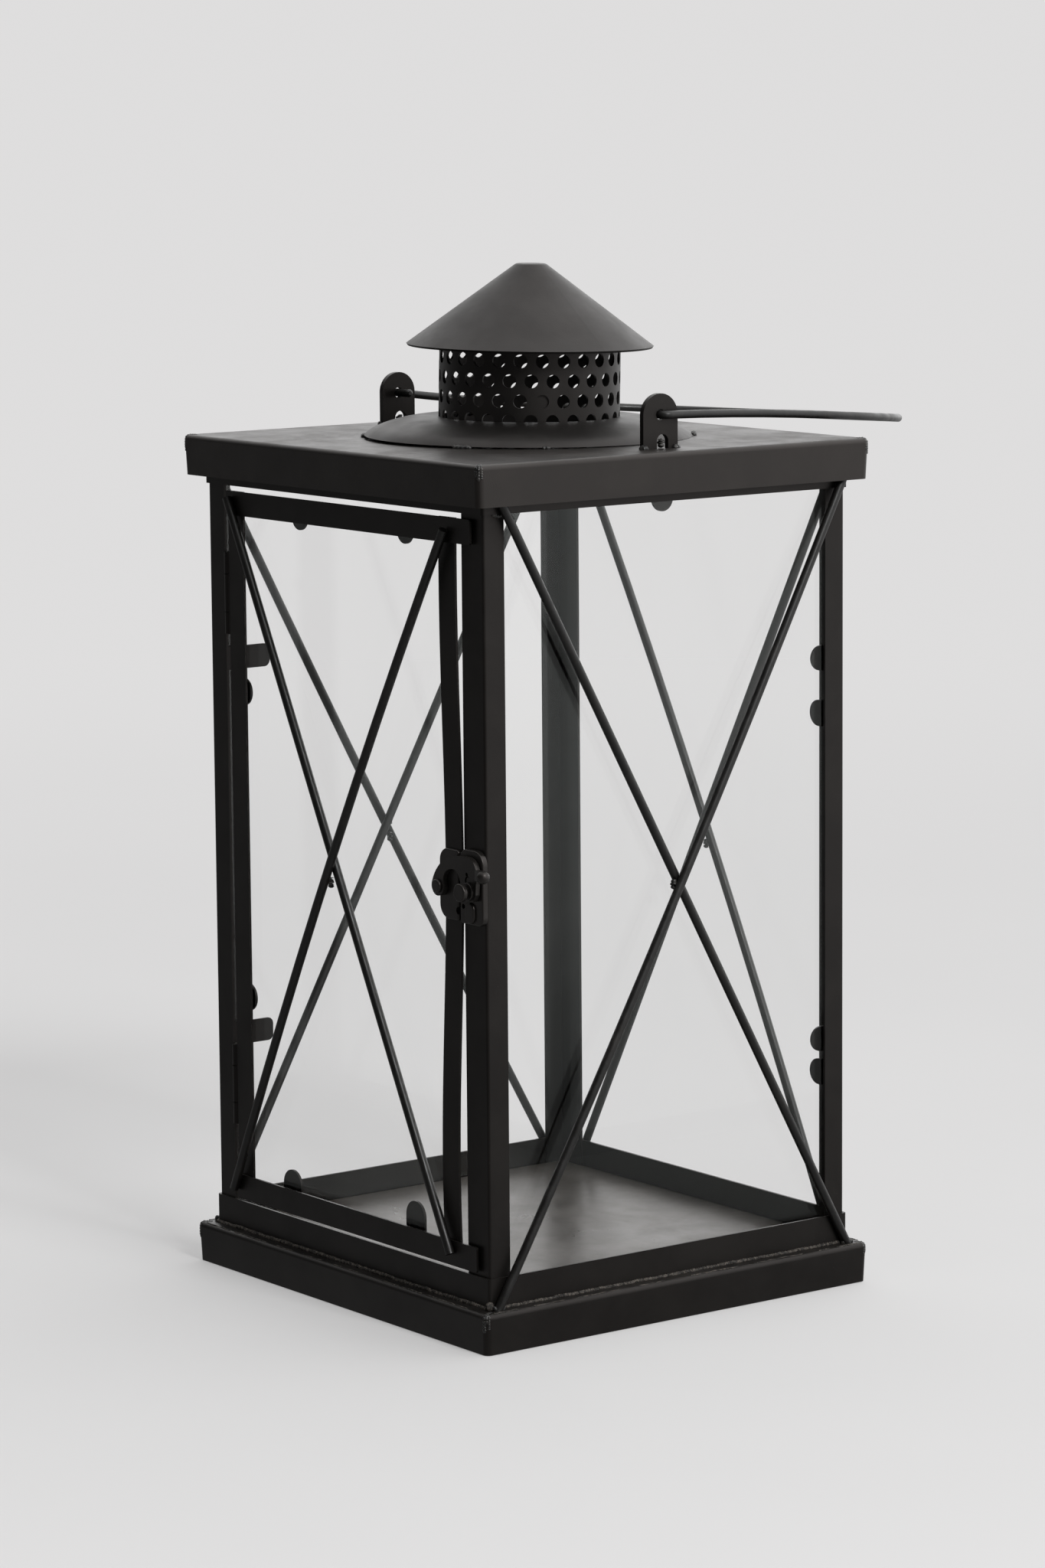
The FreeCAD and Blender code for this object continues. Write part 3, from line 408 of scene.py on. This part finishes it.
def corner_path(high, fold, sx, sy, turn, inside, below):
    """Points over the folded corner of a tray: from its top, round the fold and down."""
    way = Vector((sx * math.cos(turn), sy * math.sin(turn), 0))
    centre = Vector((sx * (high[0] - TRAY_CORNER), sy * (high[1] - TRAY_CORNER), high[2]))
    flat = TRAY_CORNER - fold
    bend = fold - GATHER_SINK
    points = []
    for k in range(3):
        points.append(centre + way * (flat - inside * (1 - k / 3)) - Vector((0, 0, GATHER_SINK)))
    for step in range(7):
        angle = math.pi / 2 * step / 6
        drop = fold - bend * math.cos(angle)
        points.append(centre + way * (flat + bend * math.sin(angle)) - Vector((0, 0, drop)))
    for k in range(1, 4):
        points.append(centre + way * (TRAY_CORNER - GATHER_SINK) - Vector((0, 0, fold + below * k / 3)))
    return points


def corner_gathers(name, node, fold, seed):
    """Ridges where the sheet gathers over a tray's folded corners."""
    rng = random.Random(seed)
    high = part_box(node)[1]
    runs = []
    for sx in (-1, 1):
        for sy in (-1, 1):
            for degrees in (22, 47, 70):
                turn = math.radians(degrees + rng.uniform(-5, 5))
                inside = rng.uniform(1.5, 3.5) * MM
                below = rng.uniform(1.5, 5.0) * MM
                runs.append(corner_path(high, fold, sx, sy, turn, inside, below))
    return bead_piece(name, runs, 0.62 * MM, seed)


def corner_lumps():
    """Lump of weld on the ledge at the latch corner, and one under the rim above it."""
    rng = random.Random(37)
    on_ledge = Vector((WRAP_X + 0.6 * MM, -WRAP_Y - 0.2 * MM, LEDGE_Z + 1.3 * MM))
    start = on_ledge + Vector((-1.6, -0.4, 0)) * MM
    stop = on_ledge + Vector((1.2, 0.5, 0.2)) * MM
    runs = [wandering(start, stop, rng, 0.2 * MM, 5)]
    lump = bead_piece("corner_lump", runs, 2.1 * MM, 43, material=SEAM)
    rim = Vector((WRAP_X - 0.8 * MM, 0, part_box("upper_rim")[0][2] - 0.2 * MM))
    start = rim + Vector((0, -78.5, 0)) * MM
    stop = rim + Vector((0, -74.5, -0.2)) * MM
    runs = [wandering(start, stop, rng, 0.2 * MM, 6)]
    return lump, bead_piece("rim_lump", runs, 0.9 * MM, 47)


def foot_of(name):
    """Where a rod's foot stands on the ledge: the middle of its lowest vertices."""
    vertices = [v.co for v in frame["nodes"][name].data.vertices]
    low = min(v.z for v in vertices)
    foot = [v for v in vertices if v.z < low + 0.4 * MM]
    return sum(foot, Vector()) / len(foot)


def rod_foot_welds():
    """A lump of weld round the foot of each fixed rod."""
    rng = random.Random(3)
    runs = []
    for name in sorted(frame["nodes"]):
        if not name.startswith("rod_"):
            continue
        foot = foot_of(name)
        along_y = abs(foot.x) > WRAP_X
        way = Vector((0, 1, 0)) if along_y else Vector((1, 0, 0))
        reach = 2.6 * MM
        middle = foot + Vector((0, 0, 0.5 * MM))
        runs.append(wandering(middle - way * reach, middle + way * reach, rng, 0.25 * MM, 6))
    return bead_piece("rod_foot_welds", runs, 1.25 * MM, 5)


def crossing(face):
    """Middle of a face's crossed rods: the outer rod's furthest point."""
    outer = frame["nodes"]["door_rod_outer" if face == "door" else "rod_" + face + "_outer"]
    axis = 1 if face in ("door", "back") else 0
    sign = -1 if face in ("door", "left") else 1
    top = max(outer.data.vertices, key=lambda v: sign * v.co[axis])
    reach = sign * top.co[axis]
    near = [v.co for v in outer.data.vertices if sign * v.co[axis] > reach - 0.15 * MM]
    middle = sum(near, Vector()) / len(near)
    middle[axis] = sign * (reach - 2 * ROD_RADIUS)
    return middle, axis


def crossing_weld(face, seed):
    """Small web of weld in the upper and lower corners of the crossed rods."""
    rng = random.Random(seed)
    middle, axis = crossing(face)
    runs = []
    for sign in (-1, 1):
        a = middle + Vector((0, 0, sign * 1.5 * MM))
        b = middle + Vector((0, 0, sign * 5.5 * MM))
        runs.append(wandering(a, b, rng, 0.15 * MM, 5))
    body = "door" if face == "door" else "root"
    return bead_piece("crossing_weld_" + face, runs, 1.1 * MM, seed, body)


def flange_welds():
    """Lumps of weld that hold the flange's rim to the roof."""
    rng = random.Random(19)
    low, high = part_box("chimney_flange")
    centre = Vector(((low[0] + high[0]) / 2, (low[1] + high[1]) / 2, ROOF_Z))
    radius = (high[0] - low[0]) / 2
    runs = []
    for degrees, spread in ((-128, 4), (-60, 7), (-31, 3), (52, 6), (140, 7), (205, 5)):
        points = []
        for step in range(5):
            turn = math.radians(degrees + spread * (step / 4 - 0.5))
            points.append(centre + Vector((math.cos(turn), math.sin(turn), 0)) * radius
                          + Vector((0, 0, rng.uniform(0.1, 0.5) * MM)))
        runs.append(points)
    return bead_piece("flange_welds", runs, 1.1 * MM, 23)


def ear_welds():
    """Weld in the notch and at the feet of each ear."""
    rng = random.Random(29)
    runs = []
    for name, sign in (("ear_near", 1), ("ear_far", -1)):
        low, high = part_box(name)
        middle_x = (low[0] + high[0]) / 2
        notch_y = (low[1] + high[1]) / 2 + 0.9 * MM
        runs.append(wandering(Vector((middle_x, notch_y, ROOF_Z)),
                              Vector((middle_x, notch_y, ROOF_Z + 3.6 * MM)), rng, 0.2 * MM, 4))
        for y in (low[1] + 0.6 * MM, high[1] - 0.8 * MM):
            a = Vector((sign * (abs(middle_x) + 0.7 * MM), y - 1.8 * MM, ROOF_Z + 0.2 * MM))
            runs.append(wandering(a, a + Vector((0, 3.2 * MM, 0)), rng, 0.2 * MM, 4))
    return bead_piece("ear_welds", runs, 1.5 * MM, 31)


# ---- light, floor and camera -----------------------------------------------------------

BACKDROP = (0.735, 0.728, 0.728)
FLOOR_RINGS = (0.35, 0.7, 1.4, 3.0, 8.0, 60.0)
FLOOR_SIDES = 96
FLOOR_Z = -0.0002
FLOOR_GLOW = 0.35               # share of the near floor that glows instead of being lit
FLOOR_SIDE = (0.7, 0.7, 0.0)    # reflections see the floor grow brighter this way
FLOOR_BOUNCE = (0.2, 1.0)       # from the first brightness to the second
SKY_WAY = (0.0, 0.78, 0.62)     # the sky grows brighter towards this direction
SKY_RAMP = (-0.35, 0.9, 0.06, 1.75)
SKY_SHARE = 0.5                 # share of the sky that lights matt surfaces


def floor_mesh():
    """Flat disc of rings, wide enough to reach the horizon."""
    mesh = bmesh.new()
    centre = mesh.verts.new((0, 0, FLOOR_Z))
    before = None
    for radius in FLOOR_RINGS:
        ring = []
        for step in range(FLOOR_SIDES):
            turn = 2 * math.pi * step / FLOOR_SIDES
            ring.append(mesh.verts.new((radius * math.cos(turn), radius * math.sin(turn), FLOOR_Z)))
        for step in range(FLOOR_SIDES):
            after = (step + 1) % FLOOR_SIDES
            if before is None:
                mesh.faces.new((centre, ring[step], ring[after]))
            else:
                mesh.faces.new((before[step], ring[step], ring[after], before[after]))
        before = ring
    data = bpy.data.meshes.new("floor")
    mesh.to_mesh(data)
    mesh.free()
    return data


def floor():
    """Pale floor. Seen directly, its far part glows like the backdrop, so no edge shows.
    Reflections see it dim before the lantern and bright beside and behind it."""
    data = floor_mesh()
    piece = bpy.data.objects.new("floor", data)
    bpy.context.collection.objects.link(piece)
    n = Nodes("floor_paper")
    n.link(n.mix(n.band(n.noise(3.0), 0.3, 0.7), (0.80, 0.795, 0.795), (0.82, 0.815, 0.815)),
           n.shader.inputs["Base Color"])
    n.shader.inputs["Roughness"].default_value = 0.9
    n.shader.inputs["Specular IOR Level"].default_value = 0.1
    glow = n.tree.nodes.new("ShaderNodeEmission")
    glow.inputs["Color"].default_value = (*BACKDROP, 1.0)
    length = n.tree.nodes.new("ShaderNodeVectorMath")
    length.operation = "LENGTH"
    n.link(n.coordinates, length.inputs[0])
    even = n.tree.nodes.new("ShaderNodeMixShader")
    n.link(n.band(length.outputs["Value"], 0.3, 1.9, FLOOR_GLOW, 1.0), even.inputs["Fac"])
    n.link(n.shader.outputs["BSDF"], even.inputs[1])
    n.link(glow.outputs["Emission"], even.inputs[2])
    side = n.tree.nodes.new("ShaderNodeVectorMath")
    side.operation = "DOT_PRODUCT"
    side.inputs[1].default_value = FLOOR_SIDE
    n.link(n.coordinates, side.inputs[0])
    bounce = n.tree.nodes.new("ShaderNodeEmission")
    n.link(n.band(side.outputs["Value"], -0.4, 1.5, *FLOOR_BOUNCE), bounce.inputs["Strength"])
    path = n.tree.nodes.new("ShaderNodeLightPath")
    mixer = n.tree.nodes.new("ShaderNodeMixShader")
    n.link(path.outputs["Is Camera Ray"], mixer.inputs["Fac"])
    n.link(bounce.outputs["Emission"], mixer.inputs[1])
    n.link(even.outputs["Shader"], mixer.inputs[2])
    n.link(mixer.outputs["Shader"], n.tree.nodes["Material Output"].inputs["Surface"])
    data.materials.append(n.material)
    return piece


def world():
    """Even pale backdrop. All but camera rays see a soft sky instead, bright above and behind."""
    sky = bpy.data.worlds.new("studio")
    sky.use_nodes = True
    tree = sky.node_tree
    background = tree.nodes["Background"]
    background.inputs["Color"].default_value = (*BACKDROP, 1.0)
    coordinates = tree.nodes.new("ShaderNodeTexCoord")
    toward = tree.nodes.new("ShaderNodeVectorMath")
    toward.operation = "DOT_PRODUCT"
    toward.inputs[1].default_value = SKY_WAY
    tree.links.new(coordinates.outputs["Generated"], toward.inputs[0])
    ramp = tree.nodes.new("ShaderNodeMapRange")
    ramp.interpolation_type = "SMOOTHSTEP"
    for socket, value in zip(("From Min", "From Max", "To Min", "To Max"), SKY_RAMP):
        ramp.inputs[socket].default_value = value
    tree.links.new(toward.outputs["Value"], ramp.inputs["Value"])
    fill = tree.nodes.new("ShaderNodeBackground")
    fill.inputs["Color"].default_value = (1.0, 1.0, 1.0, 1.0)
    path = tree.nodes.new("ShaderNodeLightPath")
    share = tree.nodes.new("ShaderNodeMapRange")
    share.inputs["To Min"].default_value = 1.0
    share.inputs["To Max"].default_value = SKY_SHARE
    tree.links.new(path.outputs["Is Diffuse Ray"], share.inputs["Value"])
    dimmed = tree.nodes.new("ShaderNodeMath")
    dimmed.operation = "MULTIPLY"
    tree.links.new(ramp.outputs["Result"], dimmed.inputs[0])
    tree.links.new(share.outputs["Result"], dimmed.inputs[1])
    tree.links.new(dimmed.outputs[0], fill.inputs["Strength"])
    mixer = tree.nodes.new("ShaderNodeMixShader")
    tree.links.new(path.outputs["Is Camera Ray"], mixer.inputs["Fac"])
    tree.links.new(fill.outputs["Background"], mixer.inputs[1])
    tree.links.new(background.outputs["Background"], mixer.inputs[2])
    tree.links.new(mixer.outputs["Shader"], tree.nodes["World Output"].inputs["Surface"])
    bpy.context.scene.world = sky


def softbox(name, place, target, size, power):
    """Rectangular area light that faces its target."""
    data = bpy.data.lights.new(name, "AREA")
    data.shape = "RECTANGLE"
    data.size, data.size_y = size
    data.energy = power
    lamp = bpy.data.objects.new(name, data)
    lamp.location = place
    lamp.rotation_euler = (Vector(target) - Vector(place)).to_track_quat("-Z", "Y").to_euler()
    bpy.context.collection.objects.link(lamp)


CAMERA_AZIMUTH = math.radians(53.251)
CAMERA_ELEVATION = math.radians(8.456)
CAMERA_ROLL = math.radians(-0.479)
CAMERA_PLACE = (1.5043, -1.1246, 0.4658)
CAMERA_LENS = 116.4


def camera():
    """Camera at the front right, turned by its azimuth, elevation and roll."""
    a, e, roll = CAMERA_AZIMUTH, CAMERA_ELEVATION, CAMERA_ROLL
    right = Vector((math.cos(a), math.sin(a), 0))
    back = Vector((math.sin(a) * math.cos(e), -math.cos(a) * math.cos(e), math.sin(e)))
    up = back.cross(right)
    across = right * math.cos(roll) + up * math.sin(roll)
    rise = up * math.cos(roll) - right * math.sin(roll)
    data = bpy.data.cameras.new("camera")
    data.lens = CAMERA_LENS
    data.sensor_width = 36.0
    data.sensor_fit = "AUTO"
    data.clip_end = 200.0
    eye = bpy.data.objects.new("camera", data)
    matrix = Matrix((across, rise, back)).transposed().to_4x4()
    matrix.translation = CAMERA_PLACE
    eye.matrix_world = matrix
    bpy.context.collection.objects.link(eye)
    bpy.context.scene.camera = eye


finish_nodes()
seam_beads()
edge_grit()
corner_gathers("roof_gathers", "roof_tray", ROOF_FOLD, 53)
corner_gathers("base_gathers", "base_tray", BASE_FOLD, 59)
corner_lumps()
rod_foot_welds()
for index, face in enumerate(("door", "right", "back", "left")):
    crossing_weld(face, 41 + index)
flange_welds()
ear_welds()

floor()
world()
softbox("key", (2.9, -0.1, 2.35), (0, 0, 0.2), (1.0, 1.0), 64.0)
camera()
bpy.context.scene.view_settings.view_transform = "Standard"
